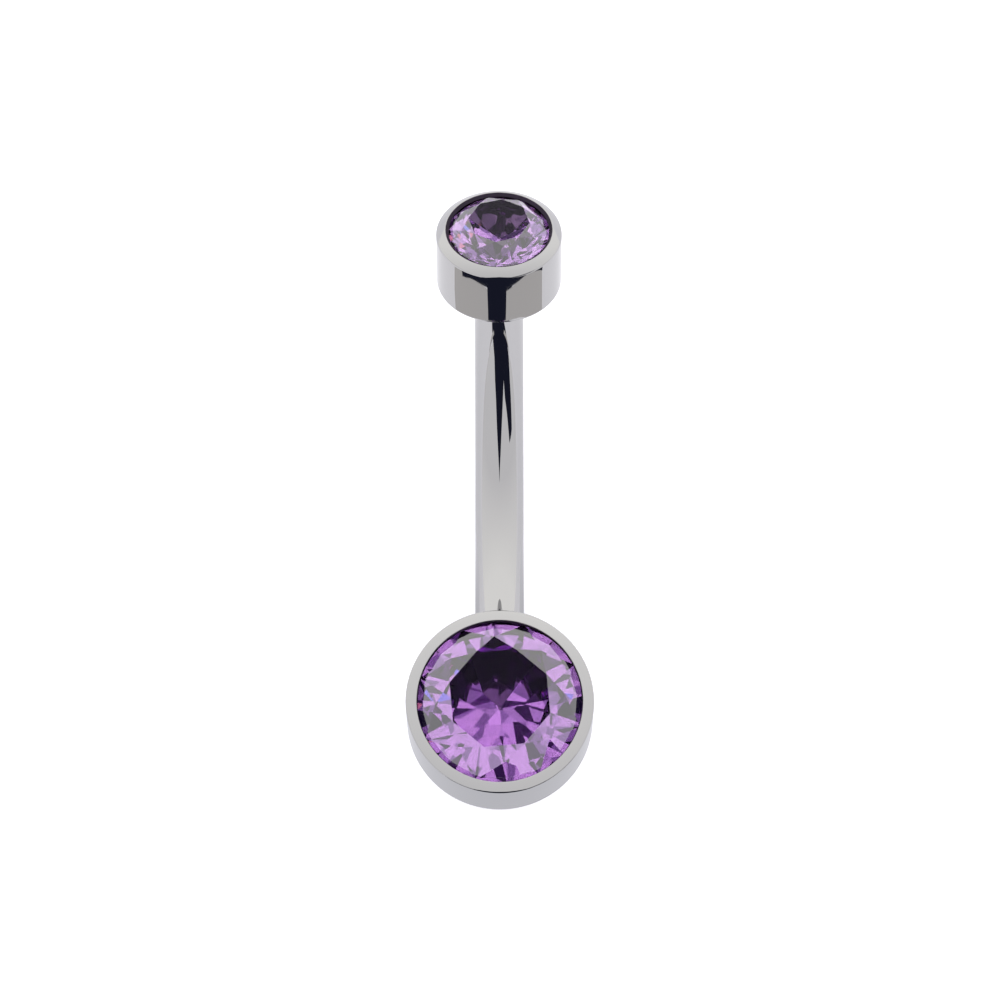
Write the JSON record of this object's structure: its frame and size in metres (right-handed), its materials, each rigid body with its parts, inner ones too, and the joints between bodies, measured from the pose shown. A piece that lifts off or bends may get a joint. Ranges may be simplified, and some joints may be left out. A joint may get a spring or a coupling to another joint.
{
  "type": "navel ring with two cut stones",
  "caption": "Curved bar navel ring with a cut violet stone in a round metal cup at each end; the smaller upper cup screws off.",
  "frame": {"origin": "centre of the lower cup's flat back, on the surface that the part lies on", "axes": "+Z along the lower stone's axis and up, +Y from the lower cup towards the upper cup"},
  "size_m": [0.006, 0.0188, 0.0086],
  "materials": {
    "metal": "mirror polished titanium",
    "stone": "polished facets, clear violet"
  },
  "bodies": {
    "bar": {"bar_and_lower_bezel": "metal", "lower_stone": "stone"},
    "upper_end": {"upper_bezel": "metal", "upper_stone": "stone"}
  },
  "joints": [
    {"name": "upper_end_off", "type": "slide", "parent": "bar", "child": "upper_end", "axis": [0, 0.4226, 0.9063], "range_m": [0, 0.0016]}
  ]
}
